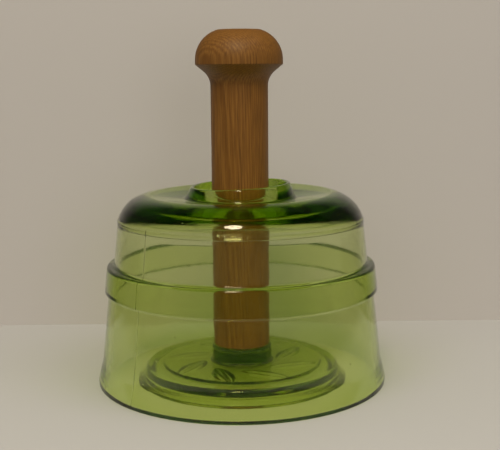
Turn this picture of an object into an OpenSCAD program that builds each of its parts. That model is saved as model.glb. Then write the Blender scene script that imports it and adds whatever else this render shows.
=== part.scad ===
// Butter mould: a pressed-glass bell with a glass print on a turned wooden plunger.
// Millimetres, +Z up. The origin is the centre of the rim that the mould stands on.

/* [Glass case] */
// Outside diameter of the case at its rim
base_d = 127; // [115:1:140]
// Height of the case at the top of its shoulder
case_h = 82.4; // [78:0.2:92]
// Lean of the outside wall from upright, in degrees
wall_lean = 6.25; // [4.5:0.25:7.5]
// Thickness of the glass wall below the band
wall_t = 3; // [2.4:0.1:3.6]
// Thickness of the wall at the rim
rim_t = 3.2; // [2.6:0.1:4]
// Width of the flat ring under the rim that the case stands on
rim_flat = 1.6; // [1.4:0.1:2.2]
// Rise of the bevel from the flat ring to the inside of the rim
rim_bevel_h = 0.9; // [0.4:0.1:1.4]
// Rounding of the rim's edges
rim_round = 0.6; // [0.2:0.1:0.6]
// Height of the flared foot
foot_h = 10.8; // [8:0.2:14]
// How far the rim stands out past the wall above the foot
foot_flare = 2.2; // [1:0.1:3.5]
// Height of the straight edge of the rim
rim_edge_h = 2; // [1.6:0.1:3]

/* [Raised band] */
// Height of the band's lower edge above the rim
band_z = 40.4; // [34:0.2:44]
// Width of the band, measured upright
band_w = 11.7; // [8:0.1:15]
// How far the band stands proud of the wall below it
band_proud = 1.75; // [1:0.05:2.5]
// How far the upper wall steps in from the line of the lower wall
upper_step = 1.3; // [0.6:0.1:1.8]
// Rounding of the band's lower edge and of the corner behind it
band_low_round = 0.8; // [0.3:0.1:1]
// Rounding of the band's upper edge and of the corner behind it
band_top_round = 1.4; // [0.5:0.1:1.8]

/* [Shoulder and top] */
// Height of the shoulder from the crease above the wall to its crest
shoulder_h = 10.6; // [8:0.2:12]
// Outside radius of the shoulder's curve
shoulder_r = 14.5; // [12.5:0.5:16]
// Rounding of the crease between the wall and the shoulder
crease_round = 1; // [0.4:0.1:2]
// Inside radius of the shoulder
inner_shoulder_r = 5; // [3:0.5:9]
// Drop of the top face from the shoulder's crest to the collar
top_dish = 2; // [0.6:0.1:2.6]
// Thickness of the top beside the collar
top_t = 4.4; // [3.6:0.1:5.4]

/* [Collar] */
// Height of the collar above the top face
collar_h = 5.8; // [4:0.1:7.5]
// Thickness of the collar's lip
lip_t = 1.4; // [1:0.1:2.2]
// How far the collar's outside spreads from its lip to its foot
collar_spread = 2.6; // [1:0.1:4]
// Rounding of the corner between the collar's outside and the top face
collar_round = 1.2; // [0.6:0.1:2]
// Radial width of the well between the guide hole and the collar's lip
well_w = 7.2; // [6:0.1:9]
// How far the well's wall draws in from the lip to the well's floor
well_draft = 1.2; // [0.4:0.1:2]
// Rise of the well's floor from the guide hole to the well's wall
well_rise = 0.8; // [0.3:0.1:1.6]
// Rounding of the corner between the well's floor and its wall
well_round = 1.5; // [0.5:0.1:2]
// Height of the hole that guides the handle
guide_h = 2; // [1.4:0.1:3]
// Rounding of the guide hole's edges
guide_round = 0.7; // [0.2:0.1:0.9]
// Radial clearance of the handle in the hole
guide_clearance = 0.65; // [0.3:0.05:1]

/* [Handle] */
// Diameter of the handle's shaft
shaft_d = 24.7; // [21:0.1:28]
// Length of the handle from its seat on the stamp to the top of the knob
handle_len = 136.8; // [130:0.2:155]
// Diameter of the knob
knob_d = 37.6; // [34:0.2:42]
// Height of the knob from its lower edge to its flat top
knob_h = 14.6; // [13:0.1:17]
// Height of the knob's upright side
knob_side_h = 1.9; // [1:0.1:2.5]
// Diameter of the knob's flat top
knob_flat_d = 18.4; // [16:0.2:22]
// Height of the cove between the shaft and the knob's lower edge
cove_h = 5.3; // [4:0.1:7]
// Radius of the cove's hollow
cove_r = 8; // [5:0.5:10]
// Rounding of the knob's lower edge
knob_round = 0.6; // [0.2:0.1:1]
// Rounding of the handle's lower end
end_round = 0.5; // [0.2:0.1:1]

/* [Stamp] */
// Radial room between the stamp and the case at the ceiling
stamp_room = 5.1; // [4:0.1:7]
// Height of the flange's upright edge
edge_h = 1.2; // [0.8:0.1:2]
// Rounding of the flange's upright edge
edge_round = 0.5; // [0.2:0.1:0.6]
// Height of the flange
flange_h = 4; // [3.6:0.1:4.8]
// Radial run of the flange's sloping top
flange_run = 2.8; // [1.6:0.1:4]
// Width of the ledge between the flange's slope and the raised ring
ledge_w = 0.6; // [0.4:0.1:1.5]
// Height of the raised ring above the flange
ring_h = 3.2; // [2.6:0.1:4.2]
// Rounding of the raised ring's outer edge
ring_round = 0.7; // [0.3:0.1:1.5]
// Width of the raised ring round the middle plate
ring_w = 7.8; // [6:0.2:10]
// Height of the middle plate above the raised ring
plate_h = 1; // [0.6:0.1:1.6]
// Rounding of the ledge, of the middle plate's step and of the foot's inner edge
fine_round = 0.3; // [0.1:0.05:0.4]
// How far the boss stands out past the shaft
boss_lip = 0.8; // [0.4:0.1:2]
// Height of the boss's seat above the table
boss_z = 15.2; // [13:0.1:18]
// Fillet between the boss and the middle plate
boss_fillet = 3.4; // [1:0.1:4]
// Rounding of the boss's seat and of the stud's end
stamp_round = 0.8; // [0.3:0.1:1]
// Gap between the handle and its seat on the boss
seat_gap = 0.2; // [0.1:0.05:0.4]

/* [Stud] */
// Diameter of the stud over its thread
stud_d = 16; // [13:0.2:17]
// Length of the stud above the boss
stud_len = 18; // [14:0.5:24]
// Radial clearance of the stud in the handle's hole
stud_clearance = 0.35; // [0.3:0.05:0.6]
// Room left above the stud in the handle's hole
stud_end_room = 2; // [1:0.5:4]

/* [Print] */
// Width of the ring under the stamp that it stands on
foot_w = 1.5; // [1:0.1:3]
// Radial run of the slope from that ring to the print's field
hollow_run = 6.4; // [3:0.2:8]
// Rounding between the slope and the print's field
hollow_round = 2; // [0.5:0.1:3]
// Depth of the print's field in the underside
print_depth = 3.2; // [2:0.1:3.4]
// Depth of the leaves in the print's field
leaf_depth = 1.6; // [0.8:0.1:1.8]
// Number of leaves round the print
leaf_count = 8; // [6:1:9]
// Width of a leaf at its middle
leaf_w = 8; // [5:0.2:9]
// Width of the rib left standing along each leaf
rib_w = 1.2; // [0.6:0.1:1.6]
// Swing of the leaves away from the radius, in degrees
leaf_swing = 62; // [45:1:70]
// Radius at which the leaves start
leaf_root_r = 16; // [14:0.5:18]
// Plain margin between the leaf tips and the line of the middle plate's edge above
leaf_margin = 1.5; // [1:0.1:4]
// Diameter of the round eye at the centre of the print
eye_d = 14; // [8:0.5:18]

/* [Hidden] */
$fn = 96;
// Angle of one step along a rounded corner
arc_step = 9;
// Share of a side that one rounded corner may use
corner_share = 0.49;

rim_r = base_d / 2;
foot_round = 2 * foot_h;
band_top_z = band_z + band_w;
face_z = case_h - top_dish;
ceiling_z = face_z - top_t;
guide_z = ceiling_z + guide_h;
collar_z = face_z + collar_h;

shaft_r = shaft_d / 2;
guide_r = shaft_r + guide_clearance;
lip_in_r = guide_r + well_w;
lip_out_r = lip_in_r + lip_t;

seat_z = boss_z + seat_gap;
top_z = seat_z + handle_len;
knob_r = knob_d / 2;
knob_z = top_z - knob_h;
dome_z = knob_z + knob_side_h;
flat_r = knob_flat_d / 2;

boss_r = shaft_r + boss_lip;
stud_r = stud_d / 2;
stud_z = boss_z + stud_len;
socket_r = stud_r + stud_clearance;
socket_z = stud_z + stud_end_room;

ring_z = flange_h + ring_h;
plate_z = ring_z + plate_h;
stamp_r = inner_r(ceiling_z) - stamp_room;
slope_r = stamp_r - flange_run;
ring_r = slope_r - ledge_w;
plate_r = ring_r - ring_w;
foot_r = stamp_r - foot_w;
leaf_len = tip_distance(leaf_root_r, plate_r - leaf_margin, leaf_swing);

// Outside radius of the lower wall's leaning line at height z
function wall_r(z) = rim_r - foot_flare - (z - foot_h) * tan(wall_lean);

// Inside radius of the case at height z, one smooth cone above the foot
function inner_r(z) = wall_r(z) - wall_t;

// Length of a line that starts at radius r0, swings by a from the radius and ends at radius r1
function tip_distance(r0, r1, a) = sqrt(r1 * r1 - pow(r0 * sin(a), 2)) - r0 * cos(a);

function unit(v) = v / norm(v);

function xy(p) = [p[0], p[1]];

// Points of the arc of radius r that rounds corner b between a and c, kept within both sides
function corner_arc(a, b, c, r) =
    let (
        to_a = unit(a - b),
        to_c = unit(c - b),
        half = acos(to_a * to_c) / 2,
        room = corner_share * min(norm(a - b), norm(c - b)),
        fit_r = min(r, room * tan(half)),
        centre = b + unit(to_a + to_c) * fit_r / sin(half),
        start = b + to_a * fit_r / tan(half) - centre,
        finish = b + to_c * fit_r / tan(half) - centre,
        from = atan2(start.y, start.x),
        turn = (atan2(finish.y, finish.x) - from + 540) % 360 - 180,
        steps = max(2, ceil(abs(turn) / arc_step))
    )
    [for (i = [0:steps]) centre + fit_r * [cos(from + turn * i / steps), sin(from + turn * i / steps)]];

// Outline through corners [radius, height, rounding]; a rounding of 0 keeps the corner sharp
function rounded(corners) =
    let (last = len(corners) - 1)
    [for (i = [0:last])
        let (
            before = corners[i == 0 ? last : i - 1],
            here = corners[i],
            after = corners[i == last ? 0 : i + 1]
        )
        each here[2] == 0 ? [xy(here)] : corner_arc(xy(before), xy(here), xy(after), here[2])];

// Corners of the shoulder, from the crease above the wall along its curve to the crest
function shoulder() =
    let (
        crease_z = case_h - shoulder_h,
        crease_r = wall_r(crease_z) - upper_step,
        low = asin(1 - shoulder_h / shoulder_r),
        centre = [crease_r - shoulder_r * cos(low), case_h - shoulder_r],
        steps = ceil((90 - low) / arc_step)
    )
    [for (i = [0:steps])
        let (a = low + (90 - low) * i / steps)
        [centre.x + shoulder_r * cos(a), centre.y + shoulder_r * sin(a), i == 0 ? crease_round : 0]];

// Arc of the knob's dome after the top of its upright side, ending at the edge of the flat top
function dome_arc() =
    let (
        rise = top_z - dome_z,
        run = knob_r - flat_r,
        r = (rise * rise + run * run) / (2 * run),
        sweep = asin(rise / r),
        steps = ceil(sweep / arc_step)
    )
    [for (i = [1:steps]) [knob_r - r + r * cos(sweep * i / steps), dome_z + r * sin(sweep * i / steps)]];

// Bell of pressed glass: flared foot, leaning wall, raised band, round shoulder, dished top and collar
module glass_case() {
    color([0.54, 0.60, 0.20, 0.45])
        rotate_extrude()
            polygon(rounded([
                [rim_r - rim_t, rim_bevel_h, rim_round],
                [rim_r - rim_flat, 0, rim_round],
                [rim_r, 0, rim_round],
                [rim_r, rim_edge_h, rim_edge_h],
                [wall_r(foot_h), foot_h, foot_round],
                [wall_r(band_z), band_z, band_low_round],
                [wall_r(band_z) + band_proud, band_z, band_low_round],
                [wall_r(band_top_z) + band_proud, band_top_z, band_top_round],
                [wall_r(band_top_z) - upper_step, band_top_z, band_top_round],
                each shoulder(),
                [lip_out_r + collar_spread, face_z, collar_round],
                [lip_out_r, collar_z, lip_t / 2],
                [lip_in_r, collar_z, lip_t / 2],
                [lip_in_r - well_draft, guide_z + well_rise, well_round],
                [guide_r, guide_z, guide_round],
                [guide_r, ceiling_z, guide_round],
                [inner_r(ceiling_z), ceiling_z, inner_shoulder_r],
                [inner_r(foot_h), foot_h, foot_round]
            ]));
}

// One turned piece: shaft, cove and flat-topped mushroom knob, with a blind hole for the stud
module wooden_handle() {
    color([0.42, 0.28, 0.13])
        rotate_extrude()
            polygon(concat(
                [[0, top_z], [0, socket_z]],
                rounded([
                    [socket_r, socket_z, 0],
                    [socket_r, seat_z, end_round],
                    [shaft_r, seat_z, end_round],
                    [shaft_r, knob_z - cove_h, cove_r],
                    [knob_r, knob_z, knob_round],
                    [knob_r, dome_z, 0]
                ]),
                dome_arc()
            ));
}

// Outline of one leaf that runs along +X from the origin: where two arcs cross, with its rib left out
module leaf() {
    arc_r = (leaf_len * leaf_len + leaf_w * leaf_w) / (4 * leaf_w);
    offset_y = arc_r - leaf_w / 2;
    difference() {
        translate([leaf_len / 2, 0])
            intersection() {
                translate([0, offset_y]) circle(arc_r);
                translate([0, -offset_y]) circle(arc_r);
            }
        translate([0, -rib_w / 2]) square([leaf_len, rib_w]);
    }
}

// Whorl of leaves round a central eye, as pressed into the underside of the stamp
module leaf_print() {
    circle(eye_d / 2);
    for (i = [0:leaf_count - 1])
        rotate(i * 360 / leaf_count)
            translate([leaf_root_r, 0])
                rotate(leaf_swing)
                    leaf();
}

// Stepped glass disc with a print in its hollow underside, a boss to seat the handle and a stud to hold it
module glass_stamp() {
    color([0.30, 0.38, 0.06, 0.6])
        difference() {
            rotate_extrude()
                polygon(rounded([
                    [0, print_depth, 0],
                    [foot_r - hollow_run, print_depth, hollow_round],
                    [foot_r, 0, fine_round],
                    [stamp_r, 0, edge_round],
                    [stamp_r, edge_h, edge_round],
                    [slope_r, flange_h, fine_round],
                    [ring_r, flange_h, fine_round],
                    [ring_r, ring_z, ring_round],
                    [plate_r, ring_z, fine_round],
                    [plate_r, plate_z, fine_round],
                    [boss_r, plate_z, boss_fillet],
                    [boss_r, boss_z, stamp_round],
                    [stud_r, boss_z, 0],
                    [stud_r, stud_z, stamp_round],
                    [0, stud_z, 0]
                ]));
            translate([0, 0, print_depth - leaf_depth])
                linear_extrude(2 * leaf_depth) leaf_print();
        }
}

glass_case();
wooden_handle();
glass_stamp();
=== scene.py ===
"""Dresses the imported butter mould: a bell and a stamp of green pressed glass on a turned wooden plunger."""

import logging
import math
from abc import ABC, abstractmethod
from dataclasses import dataclass
from enum import Enum
from typing import Any, Callable, ClassVar, Optional, Protocol, Sequence, TypeVar

import bpy
import numpy as np
from mathutils import Matrix, Vector


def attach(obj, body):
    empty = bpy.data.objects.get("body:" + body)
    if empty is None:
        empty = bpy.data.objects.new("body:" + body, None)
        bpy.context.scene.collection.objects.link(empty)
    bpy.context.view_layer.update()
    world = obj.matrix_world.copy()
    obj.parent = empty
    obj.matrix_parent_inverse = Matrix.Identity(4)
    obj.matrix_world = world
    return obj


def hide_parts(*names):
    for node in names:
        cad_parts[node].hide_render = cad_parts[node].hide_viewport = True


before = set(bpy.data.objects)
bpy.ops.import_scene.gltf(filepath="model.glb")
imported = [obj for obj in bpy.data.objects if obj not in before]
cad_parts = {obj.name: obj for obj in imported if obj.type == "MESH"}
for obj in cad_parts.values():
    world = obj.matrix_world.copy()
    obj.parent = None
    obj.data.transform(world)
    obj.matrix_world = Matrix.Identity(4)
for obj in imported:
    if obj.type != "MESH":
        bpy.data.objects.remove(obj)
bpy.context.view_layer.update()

LOG = logging.getLogger("butter_mould")
MM = 0.001

# Largest angle of one step along a rounded corner, and the fewest steps that a corner has
ARC_STEP = math.radians(5)
FEWEST_ARC_STEPS = 2
# Share of a side that one rounded corner may use
CORNER_SHARE = 0.49
# Distance in millimetres from a corner to the first point that is added to its side
CORNER_GUARD = 0.15
# Distance in millimetres within which a point counts as lying on a surface or on the axis
TOUCH = 1e-3
# Decimals of a radian to which two meridians are told apart
ANGLE_DECIMALS = 6
# Length of one ring of Blender's wave texture at a scale of 1
WAVE_LENGTH = math.pi / 10

# Sockets of Blender's Mix node, whose names are the same for numbers and colours
NUMBER_A = 2
NUMBER_B = 3
COLOUR_A = 6
COLOUR_B = 7
COLOUR_OUT = 2

Level = TypeVar("Level", float, np.ndarray)
Relief = Callable[[np.ndarray, np.ndarray, np.ndarray], tuple[np.ndarray, np.ndarray]]


class Body(Enum):
    """The moving bodies of the mould."""

    CASE = "case"
    HANDLE = "handle"
    STAMP = "stamp"


def linear(hex_colour: str) -> tuple[float, float, float, float]:
    """Turns an sRGB hex colour into linear light, by the curve of the sRGB standard.

    Args:
        hex_colour: Six hex digits after a hash.

    Returns:
        Red, green, blue and an alpha of 1.
    """
    parts = [int(hex_colour[i:i + 2], 16) / 255 for i in (1, 3, 5)]
    light = [c / 12.92 if c <= 0.04045 else ((c + 0.055) / 1.055) ** 2.4 for c in parts]
    return (*light, 1.0)


def add_node(
    tree: bpy.types.NodeTree,
    kind: str,
    inputs: Optional[dict[Any, Any]] = None,
    **settings: Any,
) -> bpy.types.Node:
    """Adds one shader node.

    Args:
        tree: The node tree it goes into.
        kind: The node's type name.
        inputs: Values, or output sockets to link from, by input name or number.
        settings: Properties of the node itself.

    Returns:
        The new node.
    """
    node = tree.nodes.new(kind)
    for name, value in settings.items():
        setattr(node, name, value)
    for key, value in (inputs or {}).items():
        if isinstance(value, bpy.types.NodeSocket):
            tree.links.new(value, node.inputs[key])
        else:
            node.inputs[key].default_value = value
    return node


def new_material(name: str) -> bpy.types.Material:
    """Makes a material with an empty node tree.

    Args:
        name: The material's name.

    Returns:
        The material.
    """
    material = bpy.data.materials.new(name)
    material.use_nodes = True
    material.node_tree.nodes.clear()
    return material


def mesh_object(
    name: str,
    vertices: Sequence[tuple[float, float, float]],
    faces: Sequence[tuple[int, ...]],
) -> bpy.types.Object:
    """Makes a smooth mesh object in the scene.

    Args:
        name: The object's name.
        vertices: Points in metres.
        faces: Numbers of each face's points.

    Returns:
        The object.
    """
    mesh = bpy.data.meshes.new(name)
    mesh.from_pydata(vertices, [], faces)
    mesh.polygons.foreach_set("use_smooth", [True] * len(mesh.polygons))
    mesh.update()
    piece = bpy.data.objects.new(name, mesh)
    bpy.context.scene.collection.objects.link(piece)
    return piece


@dataclass(frozen=True)
class Corner:
    """A corner of a turned outline, in millimetres. A rounding of 0 keeps it sharp."""

    radius: float
    height: float
    rounding: float = 0.0

    @property
    def place(self) -> np.ndarray:
        """The corner as a point."""
        return np.array([self.radius, self.height])


def corner_arc(
    before: np.ndarray,
    here: np.ndarray,
    after: np.ndarray,
    rounding: float,
) -> list[np.ndarray]:
    """Rounds one corner with an arc that stays within both of its sides.

    Args:
        before: The corner before it.
        here: The corner.
        after: The corner after it.
        rounding: The arc's radius in millimetres.

    Returns:
        Points along the arc.
    """
    to_before = (before - here) / np.linalg.norm(before - here)
    to_after = (after - here) / np.linalg.norm(after - here)
    half = math.acos(float(np.clip(to_before @ to_after, -1, 1))) / 2
    room = CORNER_SHARE * min(np.linalg.norm(before - here), np.linalg.norm(after - here))
    radius = min(rounding, room * math.tan(half))
    middle = to_before + to_after
    centre = here + middle / np.linalg.norm(middle) * radius / math.sin(half)
    start = here + to_before * radius / math.tan(half) - centre
    finish = here + to_after * radius / math.tan(half) - centre
    begin = math.atan2(start[1], start[0])
    turn = (math.atan2(finish[1], finish[0]) - begin + 3 * math.pi) % math.tau - math.pi
    steps = max(FEWEST_ARC_STEPS, math.ceil(abs(turn) / ARC_STEP))
    sweep = [begin + turn * i / steps for i in range(steps + 1)]
    return [centre + radius * np.array([math.cos(a), math.sin(a)]) for a in sweep]


def rounded(corners: Sequence[Corner]) -> np.ndarray:
    """Draws the closed outline through a list of corners.

    Args:
        corners: The corners in order.

    Returns:
        Points [radius, height] in millimetres.
    """
    points: list[np.ndarray] = []
    for i, corner in enumerate(corners):
        before = corners[i - 1].place
        after = corners[(i + 1) % len(corners)].place
        if corner.rounding:
            points += corner_arc(before, corner.place, after, corner.rounding)
        else:
            points.append(corner.place)
    return np.array(points)


def spaced(outline: np.ndarray, gap: float) -> np.ndarray:
    """Adds points along the long sides of a closed outline, with one close to each end.

    The points at the ends keep the smooth shading of a flat side from bending beside its corners.

    Args:
        outline: Points [radius, height] in millimetres.
        gap: The longest side that is left whole, in millimetres.

    Returns:
        The outline with its added points.
    """
    points: list[np.ndarray] = []
    for here, after in zip(outline, np.roll(outline, -1, axis=0)):
        length = float(np.linalg.norm(after - here))
        points.append(here)
        if length > gap:
            edge = CORNER_GUARD / length
            shares = np.linspace(edge, 1 - edge, math.ceil(length / gap) + 1)
            points += [here + (after - here) * share for share in shares]
    return np.array(points)


def even_angles(count: int) -> np.ndarray:
    """Angles evenly spaced round a full turn."""
    return np.arange(count) * math.tau / count


def lathe(
    name: str,
    outline: np.ndarray,
    angles: np.ndarray,
    relief: Optional[Relief] = None,
) -> bpy.types.Object:
    """Turns a closed outline about Z into one closed, smooth mesh.

    Args:
        name: The new object's name.
        outline: Points [radius, height] in millimetres, anticlockwise with the radius to the right.
        angles: Angles of the mesh's meridians in radians, rising through one turn.
        relief: Moves the surface: takes radius, height and angle, and returns the new radius and height.

    Returns:
        The new object, in metres.
    """
    radius = np.repeat(outline[:, :1], len(angles), axis=1)
    height = np.repeat(outline[:, 1:], len(angles), axis=1)
    turn = np.repeat(angles[None, :], len(outline), axis=0)
    if relief is not None:
        radius, height = relief(radius, height, turn)
    on_axis = outline[:, 0] < TOUCH
    vertices: list[tuple[float, float, float]] = []
    rings: list[list[int]] = []
    for i, pole in enumerate(on_axis):
        first = len(vertices)
        if pole:
            vertices.append((0.0, 0.0, float(height[i].mean()) * MM))
            rings.append([first] * len(angles))
            continue
        ring = np.stack([radius[i] * np.cos(angles), radius[i] * np.sin(angles), height[i]], axis=1) * MM
        vertices += [tuple(p) for p in ring.tolist()]
        rings.append(list(range(first, first + len(angles))))
    faces: list[tuple[int, ...]] = []
    for i, lower in enumerate(rings):
        k = (i + 1) % len(rings)
        upper = rings[k]
        if on_axis[i] and on_axis[k]:
            continue
        for j in range(len(angles)):
            n = (j + 1) % len(angles)
            if on_axis[i]:
                faces.append((lower[0], upper[n], upper[j]))
            elif on_axis[k]:
                faces.append((lower[j], lower[n], upper[0]))
            else:
                faces.append((lower[j], lower[n], upper[n], upper[j]))
    return mesh_object(name, vertices, faces)


class Finish(Protocol):
    """A finish that builds its own material."""

    def material(self) -> bpy.types.Material:
        """Builds the material."""


@dataclass(frozen=True)
class PressedGlass:
    """Green soda-lime glass, pressed in an iron mould and fire polished.

    The fire leaves a clear, glossy skin. The iron leaves faint ripples and a trace of haze, and the melt
    leaves a few burst bubbles, called seeds, so what is seen through the glass looks soft. The tint grows
    with the depth of the glass: a thin wall looks pale, and a thick edge looks dark green.
    """

    name: str
    tint: str
    taken_per_m: float = 235.0
    ior: float = 1.52
    roughness: float = 0.065
    face_pass: str = "#FEFEFE"
    ripple_mm: float = 9.0
    ripple_depth_mm: float = 0.035
    ripple_detail: float = 4.0
    ripple_rise: float = 0.6
    seed_gap_mm: float = 10.0
    seed_mm: float = 0.8
    seed_depth_mm: float = 0.2

    def material(self) -> bpy.types.Material:
        """Builds the material.

        Returns:
            Clear tinted glass that lets the lamps' light through.
        """
        material = new_material(self.name)
        tree = material.node_tree
        skin = add_node(tree, "ShaderNodeBsdfPrincipled", {
            "Base Color": (1, 1, 1, 1),
            "Roughness": self.roughness,
            "IOR": self.ior,
            "Transmission Weight": 1.0,
            "Normal": self.uneven(tree),
        })
        # Light on its way to the table and the wood passes straight through, so the shadow stays pale
        clear = add_node(tree, "ShaderNodeBsdfTransparent", {"Color": linear(self.face_pass)})
        ray = add_node(tree, "ShaderNodeLightPath")
        lamp_light = add_node(tree, "ShaderNodeMath", {
            0: ray.outputs["Is Shadow Ray"],
            1: ray.outputs["Is Diffuse Ray"],
        }, operation="MAXIMUM")
        surface = add_node(tree, "ShaderNodeMixShader", {
            0: lamp_light.outputs[0],
            1: skin.outputs[0],
            2: clear.outputs[0],
        })
        depth = add_node(tree, "ShaderNodeVolumeAbsorption", {
            "Color": linear(self.tint),
            "Density": self.taken_per_m,
        })
        add_node(tree, "ShaderNodeOutputMaterial", {
            "Surface": surface.outputs[0],
            "Volume": depth.outputs[0],
        })
        return material

    def uneven(self, tree: bpy.types.NodeTree) -> bpy.types.NodeSocket:
        """Adds the ripples and the seeds of the glass's skin.

        Args:
            tree: The node tree they go into.

        Returns:
            The skin's normal.
        """
        place = add_node(tree, "ShaderNodeTexCoord").outputs["Object"]
        ripple = add_node(tree, "ShaderNodeTexNoise", {
            "Vector": place,
            "Scale": 1 / (self.ripple_mm * MM),
            "Detail": self.ripple_detail,
            "Roughness": self.ripple_rise,
        })
        rippled = add_node(tree, "ShaderNodeBump", {
            "Strength": 1.0,
            "Distance": self.ripple_depth_mm * MM,
            "Height": ripple.outputs["Fac"],
        })
        spread = add_node(tree, "ShaderNodeTexVoronoi", {
            "Vector": place,
            "Scale": 1 / (self.seed_gap_mm * MM),
        })
        seeds = add_node(tree, "ShaderNodeMapRange", {
            "Value": spread.outputs["Distance"],
            "From Min": 0.0,
            "From Max": self.seed_mm / 2 / self.seed_gap_mm,
            "To Min": 1.0,
            "To Max": 0.0,
        })
        pitted = add_node(tree, "ShaderNodeBump", {
            "Strength": 1.0,
            "Distance": self.seed_depth_mm * MM,
            "Height": seeds.outputs[0],
            "Normal": rippled.outputs["Normal"],
        })
        return pitted.outputs["Normal"]


@dataclass(frozen=True)
class TurnedWood:
    """Old close-grained hardwood, turned along the grain.

    Turning lays the grain open as fine upright streaks on the shaft and as curved rings on the knob, and
    hands and washing have worn the surface to a satin.
    """

    name: str
    pale: str = "#865A22"
    dark: str = "#754B18"
    pore: str = "#52320F"
    ior: float = 1.45
    roughness: float = 0.5
    lean: float = math.radians(1.5)
    ring_mm: float = 0.9
    pith_mm: tuple[float, float] = (34.0, 29.0)
    ring_stretch: float = 0.15
    ring_waver: float = 2.0
    ring_detail: float = 3.0
    ring_rise: float = 0.6
    # Real pores are about 0.1 mm wide. They are drawn wider, so that they show in the render.
    pore_width_mm: float = 0.45
    pore_length_mm: float = 14.0
    pore_detail: float = 3.0
    pore_from: float = 0.42
    pore_full: float = 0.75
    pore_share: float = 0.8
    pore_depth_mm: float = 0.05
    pore_relief: float = 0.5

    def material(self) -> bpy.types.Material:
        """Builds the material.

        Returns:
            Satin wood with rings and pores along Z.
        """
        material = new_material(self.name)
        tree = material.node_tree
        place = add_node(tree, "ShaderNodeTexCoord").outputs["Object"]
        grain = add_node(tree, "ShaderNodeMapping", {
            "Vector": place,
            "Rotation": (0, self.lean, 0),
            "Scale": (1 / MM, 1 / MM, 1 / MM),
        }).outputs[0]
        pores = self.pores(tree, grain)
        pore_mask = add_node(tree, "ShaderNodeMapRange", {
            "Value": pores,
            "From Min": self.pore_from,
            "From Max": self.pore_full,
            "To Min": 0.0,
            "To Max": self.pore_share,
        })
        body = add_node(tree, "ShaderNodeMix", {
            "Factor": self.rings(tree, grain),
            COLOUR_A: linear(self.pale),
            COLOUR_B: linear(self.dark),
        }, data_type="RGBA")
        colour = add_node(tree, "ShaderNodeMix", {
            "Factor": pore_mask.outputs[0],
            COLOUR_A: body.outputs[COLOUR_OUT],
            COLOUR_B: linear(self.pore),
        }, data_type="RGBA")
        bump = add_node(tree, "ShaderNodeBump", {
            "Strength": self.pore_relief,
            "Distance": self.pore_depth_mm * MM,
            "Height": pores,
        })
        skin = add_node(tree, "ShaderNodeBsdfPrincipled", {
            "Base Color": colour.outputs[COLOUR_OUT],
            "Roughness": self.roughness,
            "IOR": self.ior,
            "Normal": bump.outputs["Normal"],
        })
        add_node(tree, "ShaderNodeOutputMaterial", {"Surface": skin.outputs[0]})
        return material

    def rings(self, tree: bpy.types.NodeTree, grain: bpy.types.NodeSocket) -> bpy.types.NodeSocket:
        """Adds the year rings round the tree's pith, which lies outside the handle.

        Args:
            tree: The node tree they go into.
            grain: Place along the grain in millimetres.

        Returns:
            0 in the pale wood of a ring to 1 in its dark wood.
        """
        from_pith = add_node(tree, "ShaderNodeMapping", {
            "Vector": grain,
            "Location": (-self.pith_mm[0], -self.pith_mm[1], 0),
            "Scale": (1, 1, self.ring_stretch),
        })
        rings = add_node(tree, "ShaderNodeTexWave", {
            "Vector": from_pith.outputs[0],
            "Scale": WAVE_LENGTH / self.ring_mm,
            "Distortion": self.ring_waver,
            "Detail": self.ring_detail,
            "Detail Scale": 1.0,
            "Detail Roughness": self.ring_rise,
        }, wave_type="RINGS", rings_direction="Z")
        return rings.outputs["Fac"]

    def pores(self, tree: bpy.types.NodeTree, grain: bpy.types.NodeSocket) -> bpy.types.NodeSocket:
        """Adds the long pores along the grain.

        Args:
            tree: The node tree they go into.
            grain: Place along the grain in millimetres.

        Returns:
            A number that is high in the pores.
        """
        across = 1 / self.pore_width_mm
        along = 1 / self.pore_length_mm
        streaks = add_node(tree, "ShaderNodeMapping", {"Vector": grain, "Scale": (across, across, along)})
        pores = add_node(tree, "ShaderNodeTexNoise", {
            "Vector": streaks.outputs[0],
            "Scale": 1.0,
            "Detail": self.pore_detail,
        })
        return pores.outputs["Fac"]


class MouldPiece(ABC):
    """One piece of the mould, which rides on a body and stands for a node of the frame."""

    name: ClassVar[str]
    body: ClassVar[Body]
    node: ClassVar[str]
    slot: ClassVar[str]

    @abstractmethod
    def build(self) -> bpy.types.Object:
        """Builds the piece's mesh."""

    def dress(self, piece: bpy.types.Object, finish: Finish) -> None:
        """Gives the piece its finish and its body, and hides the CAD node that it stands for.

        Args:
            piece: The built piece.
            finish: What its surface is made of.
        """
        piece.data.materials.append(finish.material())
        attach(piece, self.body.value)
        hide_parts(self.node)
        LOG.info("%s: %d faces on body %s", piece.name, len(piece.data.polygons), self.body.value)


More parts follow.
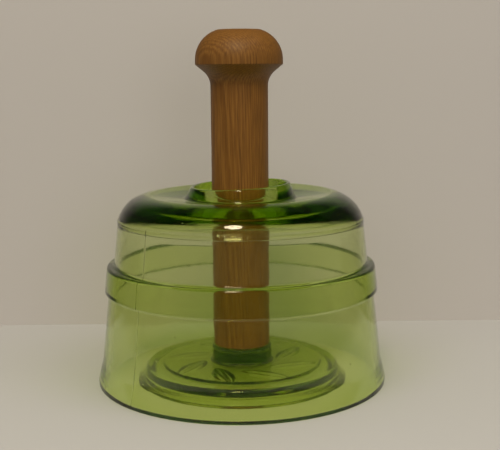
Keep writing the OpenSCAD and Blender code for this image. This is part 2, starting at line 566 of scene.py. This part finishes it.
@dataclass
class GlassCase(MouldPiece):
    """The pressed-glass bell that stands on its rim. Sizes in millimetres, angles in radians."""

    name: ClassVar[str] = "pressed_glass_case"
    body: ClassVar[Body] = Body.CASE
    node: ClassVar[str] = "glass_case"
    slot: ClassVar[str] = "case_glass"

    # Wall, rim and foot
    base_d: float = 127.0
    case_h: float = 82.4
    wall_lean: float = math.radians(6.25)
    wall_t: float = 3.0
    rim_t: float = 3.2
    rim_round: float = 0.6
    rim_flat: float = 1.6
    rim_bevel_h: float = 0.9
    rim_edge_h: float = 2.0
    foot_h: float = 10.8
    foot_flare: float = 2.2
    # Raised band
    band_z: float = 40.4
    band_w: float = 11.7
    band_proud: float = 1.75
    upper_step: float = 1.3
    band_low_round: float = 0.8
    band_top_round: float = 1.4
    # Shoulder and top
    shoulder_h: float = 10.6
    shoulder_r: float = 14.5
    shoulder_steps: int = 16
    inner_shoulder_r: float = 9.3
    top_dish: float = 2.0
    top_t: float = 4.4
    # Collar, its well and the hole that guides the handle
    collar_h: float = 5.8
    collar_spread: float = 2.6
    collar_round: float = 1.2
    collar_tilt: float = 0.9
    lip_t: float = 1.4
    well_w: float = 7.2
    well_draft: float = 1.2
    well_rise: float = 0.8
    well_round: float = 1.5
    guide_r: float = 13.0
    guide_h: float = 2.0
    guide_round: float = 0.7
    # Marks of the iron mould: the ridge at its joint and two upright seams
    joint_h: float = 0.2
    joint_w: float = 1.6
    seam_angle: float = math.radians(-135.3)
    seam_from_z: float = 1.0
    seam_h: float = 0.12
    seam_w: float = 0.25
    rear_seam_share: float = 0.3
    # Mesh, finer beside the seams
    meridians: int = 288
    seam_meridians: int = 12
    seam_step: float = math.radians(0.1)
    mesh_gap: float = 2.5

    @property
    def rim_r(self) -> float:
        """Outside radius at the rim."""
        return self.base_d / 2

    @property
    def face_z(self) -> float:
        """Height of the top face beside the collar."""
        return self.case_h - self.top_dish

    @property
    def ceiling_z(self) -> float:
        """Height of the ceiling of the hollow."""
        return self.face_z - self.top_t

    def wall_r(self, z: Level) -> Level:
        """Outside radius of the lower wall's leaning line at height z."""
        return self.rim_r - self.foot_flare - (z - self.foot_h) * math.tan(self.wall_lean)

    def inner_r(self, z: float) -> float:
        """Inside radius at height z."""
        return self.wall_r(z) - self.wall_t

    def outline(self) -> np.ndarray:
        """Draws the section of the glass.

        Returns:
            Points [radius, height].
        """
        band_top_z = self.band_z + self.band_w
        foot_round = 2 * self.foot_h
        lip_in_r = self.guide_r + self.well_w
        lip_out_r = lip_in_r + self.lip_t
        collar_z = self.face_z + self.collar_h
        guide_z = self.ceiling_z + self.guide_h
        return rounded([
            Corner(self.rim_r - self.rim_t, self.rim_bevel_h, self.rim_round),
            Corner(self.rim_r - self.rim_flat, 0, self.rim_round),
            Corner(self.rim_r, 0, self.rim_round),
            Corner(self.rim_r, self.rim_edge_h, self.rim_edge_h),
            Corner(self.wall_r(self.foot_h), self.foot_h, foot_round),
            Corner(self.wall_r(self.band_z), self.band_z, self.band_low_round),
            Corner(self.wall_r(self.band_z) + self.band_proud, self.band_z, self.band_low_round),
            Corner(self.wall_r(band_top_z) + self.band_proud, band_top_z, self.band_top_round),
            Corner(self.wall_r(band_top_z) - self.upper_step, band_top_z, self.band_top_round),
            *self.shoulder(),
            Corner(lip_out_r + self.collar_spread, self.face_z, self.collar_round),
            Corner(lip_out_r, collar_z, self.lip_t / 2),
            Corner(lip_in_r, collar_z, self.lip_t / 2),
            Corner(lip_in_r - self.well_draft, guide_z + self.well_rise, self.well_round),
            Corner(self.guide_r, guide_z, self.guide_round),
            Corner(self.guide_r, self.ceiling_z, self.guide_round),
            Corner(self.inner_r(self.ceiling_z), self.ceiling_z, self.inner_shoulder_r),
            Corner(self.inner_r(self.foot_h), self.foot_h, foot_round),
        ])

    def shoulder(self) -> list[Corner]:
        """Draws the shoulder, with the low ridge of the mould's joint below its crease.

        Returns:
            Corners from the ridge to the crest.
        """
        crease_z = self.case_h - self.shoulder_h
        crease_r = self.wall_r(crease_z) - self.upper_step
        low = math.asin(1 - self.shoulder_h / self.shoulder_r)
        centre_r = crease_r - self.shoulder_r * math.cos(low)
        centre_z = self.case_h - self.shoulder_r
        arc: list[Corner] = []
        for i in range(1, self.shoulder_steps + 1):
            a = low + (math.pi / 2 - low) * i / self.shoulder_steps
            out = self.shoulder_r * math.cos(a)
            up = self.shoulder_r * math.sin(a)
            arc.append(Corner(centre_r + out, centre_z + up))
        joint_z = crease_z - self.joint_w
        joint_r = self.wall_r(joint_z) - self.upper_step
        return [
            Corner(joint_r, joint_z, self.joint_h),
            Corner(joint_r + self.joint_h, joint_z + self.joint_h, self.joint_h),
            Corner(crease_r + self.joint_h, crease_z, self.joint_h),
            Corner(crease_r, crease_z + self.joint_h, self.joint_h),
            *arc,
        ]

    def relief(
        self,
        radius: np.ndarray,
        height: np.ndarray,
        angle: np.ndarray,
    ) -> tuple[np.ndarray, np.ndarray]:
        """Tilts the collar's lip and raises the two mould seams.

        Args:
            radius: Radius of each point.
            height: Height of each point.
            angle: Angle of each point.

        Returns:
            The moved radius and height.
        """
        rise = np.clip((height - self.face_z) / self.collar_h, 0, 1)
        outwards = np.clip((radius - self.guide_r) / self.well_w, 0, 1)
        tilt = self.collar_tilt * rise * outwards * np.cos(angle)
        outside = radius > self.wall_r(height) - self.wall_t / 2
        across = radius * np.sin(angle - self.seam_angle)
        share = np.where(np.cos(angle - self.seam_angle) > 0, 1, self.rear_seam_share)
        ridge = self.seam_h * share * np.exp(-(across / self.seam_w) ** 2)
        return radius + ridge * outside * (height > self.seam_from_z), height + tilt

    def angles(self) -> np.ndarray:
        """Places the meridians, close together at the two seams.

        Returns:
            Their angles, rising.
        """
        near = np.arange(-self.seam_meridians, self.seam_meridians + 1) * self.seam_step
        seams = [self.seam_angle + side + near for side in (0, math.pi)]
        all_angles = np.concatenate([even_angles(self.meridians), *seams]) % math.tau
        return np.unique(np.round(all_angles, ANGLE_DECIMALS))

    def build(self) -> bpy.types.Object:
        """Builds the bell's mesh."""
        return lathe(self.name, spaced(self.outline(), self.mesh_gap), self.angles(), self.relief)


@dataclass
class WoodenHandle(MouldPiece):
    """The plunger's handle, turned from one piece of wood. Sizes in millimetres."""

    name: ClassVar[str] = "turned_wood_handle"
    body: ClassVar[Body] = Body.HANDLE
    node: ClassVar[str] = "wooden_handle"
    slot: ClassVar[str] = "turned_wood"

    seat_z: float = 15.4
    handle_len: float = 136.8
    shaft_d: float = 24.7
    end_round: float = 0.5
    # Knob and the cove below it
    knob_d: float = 37.6
    knob_h: float = 14.6
    knob_side_h: float = 1.9
    knob_flat_d: float = 18.4
    knob_round: float = 0.6
    cove_h: float = 5.3
    cove_r: float = 8.0
    # Hole for the stamp's stud
    socket_r: float = 8.35
    socket_z: float = 35.2
    # Mesh
    meridians: int = 160
    mesh_gap: float = 2.0

    @property
    def top_z(self) -> float:
        """Height of the knob's flat top."""
        return self.seat_z + self.handle_len

    @property
    def dome_z(self) -> float:
        """Height at which the knob's dome starts."""
        return self.top_z - self.knob_h + self.knob_side_h

    def dome(self) -> list[Corner]:
        """Draws the arc of the knob's dome.

        Returns:
            Points after the top of the upright side, up to the edge of the flat top.
        """
        knob_r = self.knob_d / 2
        rise = self.top_z - self.dome_z
        run = knob_r - self.knob_flat_d / 2
        dome_r = (rise * rise + run * run) / (2 * run)
        sweep = math.asin(rise / dome_r)
        steps = math.ceil(sweep / ARC_STEP)
        turns = [sweep * i / steps for i in range(1, steps + 1)]
        return [
            Corner(knob_r - dome_r + dome_r * math.cos(a), self.dome_z + dome_r * math.sin(a))
            for a in turns
        ]

    def outline(self) -> np.ndarray:
        """Draws the section of the handle, with the hole for the stud.

        Returns:
            Points [radius, height].
        """
        shaft_r = self.shaft_d / 2
        knob_r = self.knob_d / 2
        knob_z = self.top_z - self.knob_h
        return rounded([
            Corner(0, self.top_z),
            Corner(0, self.socket_z),
            Corner(self.socket_r, self.socket_z),
            Corner(self.socket_r, self.seat_z, self.end_round),
            Corner(shaft_r, self.seat_z, self.end_round),
            Corner(shaft_r, knob_z - self.cove_h, self.cove_r),
            Corner(knob_r, knob_z, self.knob_round),
            Corner(knob_r, self.dome_z),
            *self.dome(),
        ])

    def build(self) -> bpy.types.Object:
        """Builds the handle's mesh."""
        return lathe(self.name, spaced(self.outline(), self.mesh_gap), even_angles(self.meridians))


@dataclass
class GlassStamp(MouldPiece):
    """The glass print on the plunger's lower end. Sizes in millimetres, angles in radians."""

    name: ClassVar[str] = "glass_butter_stamp"
    body: ClassVar[Body] = Body.STAMP
    node: ClassVar[str] = "glass_stamp"
    slot: ClassVar[str] = "stamp_glass"

    # Flange, raised ring and middle plate
    stamp_r: float = 46.06
    edge_h: float = 1.2
    edge_round: float = 0.5
    flange_h: float = 4.0
    flange_run: float = 2.8
    ledge_w: float = 0.6
    ring_h: float = 3.2
    ring_round: float = 1.7
    ring_w: float = 7.8
    plate_h: float = 1.0
    fine_round: float = 0.3
    # Boss and threaded stud
    boss_r: float = 13.15
    boss_z: float = 15.2
    boss_fillet: float = 1.4
    stamp_round: float = 0.8
    stud_r: float = 8.0
    stud_len: float = 18.0
    thread_pitch: float = 4.0
    thread_depth: float = 0.8
    thread_runout: float = 2.0
    thread_end: float = 1.0
    # Hollow underside and its print of leaves round an eye
    foot_w: float = 1.5
    hollow_run: float = 6.4
    hollow_round: float = 2.0
    print_depth: float = 3.2
    leaf_depth: float = 2.7
    leaf_count: int = 8
    leaf_w: float = 8.0
    rib_w: float = 1.2
    leaf_swing: float = math.radians(62)
    leaf_root_r: float = 16.0
    leaf_margin: float = 1.5
    eye_d: float = 14.0
    # Mesh, fine enough for the leaves
    meridians: int = 480
    mesh_gap: float = 0.45

    @property
    def plate_r(self) -> float:
        """Radius of the middle plate."""
        return self.stamp_r - self.flange_run - self.ledge_w - self.ring_w

    @property
    def hollow_r(self) -> float:
        """Radius of the print's field in the underside."""
        return self.stamp_r - self.foot_w - self.hollow_run

    @property
    def stud_z(self) -> float:
        """Height of the stud's end."""
        return self.boss_z + self.stud_len

    def outline(self) -> np.ndarray:
        """Draws the section of the stamp.

        Returns:
            Points [radius, height].
        """
        ring_z = self.flange_h + self.ring_h
        plate_z = ring_z + self.plate_h
        slope_r = self.stamp_r - self.flange_run
        return rounded([
            Corner(0, self.print_depth),
            Corner(self.hollow_r, self.print_depth, self.hollow_round),
            Corner(self.stamp_r - self.foot_w, 0, self.fine_round),
            Corner(self.stamp_r, 0, self.edge_round),
            Corner(self.stamp_r, self.edge_h, self.edge_round),
            Corner(slope_r, self.flange_h, self.fine_round),
            Corner(slope_r - self.ledge_w, self.flange_h, self.fine_round),
            Corner(slope_r - self.ledge_w, ring_z, self.ring_round),
            Corner(self.plate_r, ring_z, self.fine_round),
            Corner(self.plate_r, plate_z, self.fine_round),
            Corner(self.boss_r, plate_z, self.boss_fillet),
            Corner(self.boss_r, self.boss_z, self.stamp_round),
            Corner(self.stud_r, self.boss_z),
            Corner(self.stud_r, self.stud_z, self.stamp_round),
            Corner(0, self.stud_z),
        ])

    def leaf(self, along: np.ndarray, aside: np.ndarray) -> np.ndarray:
        """Shapes one leaf: a hollow between two arcs, with a rib left standing along its middle.

        Args:
            along: Distance of each point along the leaf from its root.
            aside: Distance of each point to the side of the leaf's middle.

        Returns:
            0 outside the leaf to 1 where it is deepest.
        """
        reach = self.plate_r - self.leaf_margin
        sideways = self.leaf_root_r * math.sin(self.leaf_swing)
        length = math.sqrt(reach ** 2 - sideways ** 2) - self.leaf_root_r * math.cos(self.leaf_swing)
        arc_r = (length ** 2 + self.leaf_w ** 2) / (4 * self.leaf_w)
        half = np.sqrt(np.clip(arc_r ** 2 - (along - length / 2) ** 2, 0, None)) - (arc_r - self.leaf_w / 2)
        inside = (half > TOUCH) & (np.abs(aside) < half)
        hollow = np.sqrt(np.clip(1 - np.abs(aside) / np.maximum(half, TOUCH), 0, 1))
        rib = 1 - np.exp(-(aside / self.rib_w) ** 2)
        return np.where(inside, hollow * rib, 0)

    def print_at(self, x: np.ndarray, y: np.ndarray) -> np.ndarray:
        """Depth of the leaves and the eye below the print's field.

        Args:
            x: First coordinate of each point.
            y: Second coordinate of each point.

        Returns:
            Depth at each point.
        """
        depth = np.sqrt(np.clip(1 - (x ** 2 + y ** 2) / (self.eye_d / 2) ** 2, 0, 1))
        for turn in even_angles(self.leaf_count):
            from_root_x = x - self.leaf_root_r * math.cos(turn)
            from_root_y = y - self.leaf_root_r * math.sin(turn)
            way_x = math.cos(turn + self.leaf_swing)
            way_y = math.sin(turn + self.leaf_swing)
            along = from_root_x * way_x + from_root_y * way_y
            aside = from_root_y * way_x - from_root_x * way_y
            depth = np.maximum(depth, self.leaf(along, aside))
        return self.leaf_depth * depth

    def relief(
        self,
        radius: np.ndarray,
        height: np.ndarray,
        angle: np.ndarray,
    ) -> tuple[np.ndarray, np.ndarray]:
        """Sinks the print into the underside and winds the thread round the stud.

        Args:
            radius: Radius of each point.
            height: Height of each point.
            angle: Angle of each point.

        Returns:
            The moved radius and height.
        """
        in_field = (height < self.print_depth + TOUCH) & (radius < self.hollow_r - self.hollow_round)
        sunk = self.print_at(radius * np.cos(angle), radius * np.sin(angle)) * in_field
        run_in = np.clip((height - self.boss_z) / self.thread_runout, 0, 1)
        run_out = np.clip((self.stud_z - self.thread_end - height) / self.thread_runout, 0, 1)
        on_stud = (np.abs(radius - self.stud_r) < TOUCH) & (height > self.boss_z)
        wind = 0.5 - 0.5 * np.cos(math.tau * height / self.thread_pitch - angle)
        return radius - self.thread_depth * wind * run_in * run_out * on_stud, height + sunk

    def build(self) -> bpy.types.Object:
        """Builds the stamp's mesh."""
        outline = spaced(self.outline(), self.mesh_gap)
        return lathe(self.name, outline, even_angles(self.meridians), self.relief)


@dataclass(frozen=True)
class Fade:
    """How a stage sheet is painted darker with distance, as a painted pool of light, for all but the camera's
    own view. Sizes in millimetres.
    """

    near: float
    far: float

    def factor(self, tree: bpy.types.NodeTree, distance: bpy.types.NodeSocket) -> bpy.types.NodeSocket:
        """Adds the share of the sheet's colour that is lost.

        Args:
            tree: The node tree it goes into.
            distance: Distance from the point that the fade starts from, in metres.

        Returns:
            0 up to the near distance, rising to 1 at the far one.
        """
        return add_node(tree, "ShaderNodeMapRange", {
            "Value": distance,
            "From Min": self.near * MM,
            "From Max": self.far * MM,
            "To Min": 0.0,
            "To Max": 1.0,
        }, interpolation_type="SMOOTHSTEP").outputs[0]


@dataclass(frozen=True)
class Lamp:
    """A round soft lamp that faces the mould. Angles in degrees, sizes in millimetres.

    The azimuth counts to the right from the camera's side, and the elevation up from the table.
    """

    name: str
    azimuth: float
    elevation: float
    watts: float
    distance: float = 1500.0
    size: float = 900.0
    colour: str = "#FFFFFF"
    mirrored: bool = False

    def hang(self, aim_z: float) -> None:
        """Hangs the lamp.

        Args:
            aim_z: Height of the point on the mould's axis that it faces.
        """
        data = bpy.data.lights.new(self.name, "AREA")
        data.shape = "DISK"
        data.size = self.size * MM
        data.energy = self.watts
        data.color = linear(self.colour)[:3]
        turn = math.radians(self.azimuth)
        rise = math.radians(self.elevation)
        flat = math.cos(rise)
        towards = Vector((math.sin(turn) * flat, -math.cos(turn) * flat, math.sin(rise)))
        lamp = bpy.data.objects.new(self.name, data)
        lamp.location = Vector((0, 0, aim_z * MM)) + towards * self.distance * MM
        lamp.rotation_mode = "QUATERNION"
        lamp.rotation_quaternion = (-towards).to_track_quat("-Z", "Y")
        lamp.visible_glossy = self.mirrored
        lamp.visible_transmission = self.mirrored
        bpy.context.scene.collection.objects.link(lamp)


@dataclass
class Studio:
    """A plain pale table and wall, soft lamps and the camera. Sizes in millimetres, angles in radians."""

    # Table and wall. The camera sees them plain. In the glass, and in the light that they throw back,
    # they are painted darker away from a point at fade_y: a painted pool of light that fades to the dim
    # colour.
    floor_colour: str = "#B7B4AE"
    wall_colour: str = "#BFB9B3"
    dim_colour: str = "#3A3937"
    floor_fade: Fade = Fade(200, 320)
    wall_fade_through: Fade = Fade(550, 600)
    wall_fade_mirrored: Fade = Fade(90, 235)
    fade_y: float = 90.0
    wall_y: float = 92.0
    wall_h: float = 420.0
    side: float = 600.0
    floor_gap: float = 0.15
    # Light
    near_room: str = "#8E8C88"
    far_room: str = "#D8D6D1"
    aim_z: float = 70.0
    lamps: tuple[Lamp, ...] = (
        Lamp("key", -8.5, 51, 4.2, distance=1200, size=280, colour="#FFEBC4", mirrored=True),
        Lamp("left_fill", -38, 56, 6.6),
        Lamp("right_fill", 60, 54, 5.6),
        Lamp("low_fill", 12, 10, 3.2),
    )
    light_bounces: int = 32
    # Camera
    eye: tuple[float, float, float] = (0.0, -420.0, 134.6)
    pitch: float = math.radians(9.0)
    yaw: float = math.radians(0.56)
    roll: float = math.radians(0.5)
    lens: float = 69.84
    sensor_w: float = 36.0

    def sheet(
        self,
        name: str,
        corners: Sequence[tuple[float, float, float]],
        colour: str,
        through: Fade,
        mirrored: Fade,
    ) -> None:
        """Lays one flat stage sheet, which is clear from behind.

        Args:
            name: The sheet's name.
            corners: Its four corners.
            colour: Its sRGB hex colour.
            through: How it fades where it is seen through the glass.
            mirrored: How it fades where it is mirrored in the glass.
        """
        sheet = mesh_object(name, [tuple(c * MM for c in p) for p in corners], [(0, 1, 2, 3)])
        material = new_material(name + "_paint")
        tree = material.node_tree
        ray = add_node(tree, "ShaderNodeLightPath")
        off_camera = add_node(tree, "ShaderNodeMath", {
            0: 1.0,
            1: ray.outputs["Is Camera Ray"],
        }, operation="SUBTRACT")
        # Off camera the sheet is painted darker with distance, as a painted pool of light with painted shade
        # beyond it
        dimmed = add_node(tree, "ShaderNodeMath", {
            0: self.painted_shade(tree, ray, through, mirrored),
            1: off_camera.outputs[0],
        }, operation="MULTIPLY")
        shade = add_node(tree, "ShaderNodeMix", {
            "Factor": dimmed.outputs[0],
            COLOUR_A: linear(colour),
            COLOUR_B: linear(self.dim_colour),
        }, data_type="RGBA")
        matt = add_node(tree, "ShaderNodeBsdfDiffuse", {"Color": shade.outputs[COLOUR_OUT]})
        clear = add_node(tree, "ShaderNodeBsdfTransparent")
        surface = add_node(tree, "ShaderNodeMixShader", {
            0: add_node(tree, "ShaderNodeNewGeometry").outputs["Backfacing"],
            1: matt.outputs[0],
            2: clear.outputs[0],
        })
        add_node(tree, "ShaderNodeOutputMaterial", {"Surface": surface.outputs[0]})
        sheet.data.materials.append(material)

    def painted_shade(
        self,
        tree: bpy.types.NodeTree,
        ray: bpy.types.Node,
        through: Fade,
        mirrored: Fade,
    ) -> bpy.types.NodeSocket:
        """Adds the painted shade of a sheet off camera: the share of its colour that goes to the dim colour.

        Args:
            tree: The node tree it goes into.
            ray: The tree's Light Path node.
            through: How the sheet fades where it is seen through the glass.
            mirrored: How the sheet fades where it is mirrored in the glass.

        Returns:
            0 where the sheet keeps its colour to 1 where it is dim.
        """
        place = add_node(tree, "ShaderNodeTexCoord").outputs["Object"]
        distance = add_node(tree, "ShaderNodeVectorMath", {
            0: place,
            1: (0, self.fade_y * MM, 0),
        }, operation="DISTANCE").outputs["Value"]
        # A diffuse bounce counts as a reflection too, so it is taken off
        is_mirrored = add_node(tree, "ShaderNodeMath", {
            0: ray.outputs["Is Reflection Ray"],
            1: ray.outputs["Is Diffuse Ray"],
        }, operation="SUBTRACT", use_clamp=True)
        return add_node(tree, "ShaderNodeMix", {
            "Factor": is_mirrored.outputs[0],
            NUMBER_A: through.factor(tree, distance),
            NUMBER_B: mirrored.factor(tree, distance),
        }).outputs[0]

    def room(self) -> None:
        """Fills the room with soft light, weaker from the front, that isn't mirrored in the glass."""
        world = bpy.data.worlds.new("soft_room")
        bpy.context.scene.world = world
        world.use_nodes = True
        tree = world.node_tree
        tree.nodes.clear()
        direction = add_node(tree, "ShaderNodeTexCoord").outputs["Generated"]
        backwards = add_node(tree, "ShaderNodeSeparateXYZ", {0: direction}).outputs["Y"]
        share = add_node(tree, "ShaderNodeMapRange", {
            "Value": backwards,
            "From Min": -1.0,
            "From Max": 1.0,
            "To Min": 0.0,
            "To Max": 1.0,
        })
        colour = add_node(tree, "ShaderNodeMix", {
            "Factor": share.outputs[0],
            COLOUR_A: linear(self.near_room),
            COLOUR_B: linear(self.far_room),
        }, data_type="RGBA")
        light = add_node(tree, "ShaderNodeBackground", {
            "Color": colour.outputs[COLOUR_OUT],
            "Strength": 1.0,
        })
        add_node(tree, "ShaderNodeOutputWorld", {"Surface": light.outputs[0]})
        world.cycles_visibility.glossy = False

    def camera(self) -> None:
        """Sets the camera at the photograph's place and angle."""
        data = bpy.data.cameras.new("camera")
        data.lens = self.lens
        data.sensor_width = self.sensor_w
        camera = bpy.data.objects.new("camera", data)
        aim = Matrix.Rotation(-self.yaw, 4, "Z") @ Matrix.Rotation(math.pi / 2 - self.pitch, 4, "X")
        aim = aim @ Matrix.Rotation(-self.roll, 4, "Z")
        camera.matrix_world = Matrix.Translation(Vector(self.eye) * MM) @ aim
        bpy.context.scene.collection.objects.link(camera)
        bpy.context.scene.camera = camera

    def build(self) -> None:
        """Builds the stage, the light and the camera."""
        side = self.side
        back = self.wall_y
        low = -self.floor_gap
        top = self.wall_h
        floor = [(-side, -side, low), (side, -side, low), (side, side, low), (-side, side, low)]
        self.sheet("floor", floor, self.floor_colour, self.floor_fade, self.floor_fade)
        wall = [(-side, back, low), (side, back, low), (side, back, top), (-side, back, top)]
        self.sheet("backdrop", wall, self.wall_colour, self.wall_fade_through, self.wall_fade_mirrored)
        for lamp in self.lamps:
            lamp.hang(self.aim_z)
        self.room()
        self.camera()
        scene = bpy.context.scene
        scene.view_settings.view_transform = "Standard"
        scene.cycles.max_bounces = self.light_bounces
        scene.cycles.glossy_bounces = self.light_bounces
        scene.cycles.transmission_bounces = self.light_bounces
        scene.cycles.transparent_max_bounces = self.light_bounces


def main() -> None:
    """Builds the studio and the three pieces."""
    logging.basicConfig(level=logging.INFO, format="%(name)s %(message)s")
    Studio().build()
    parts: list[tuple[MouldPiece, Finish]] = [
        (GlassCase(), PressedGlass("pressed_case_glass", tint="#E1ED86")),
        (WoodenHandle(), TurnedWood("turned_hardwood")),
        (GlassStamp(), PressedGlass("pressed_stamp_glass", tint="#E4ED76")),
    ]
    for part, finish in parts:
        part.dress(part.build(), finish)


if __name__ == "__main__":
    main()
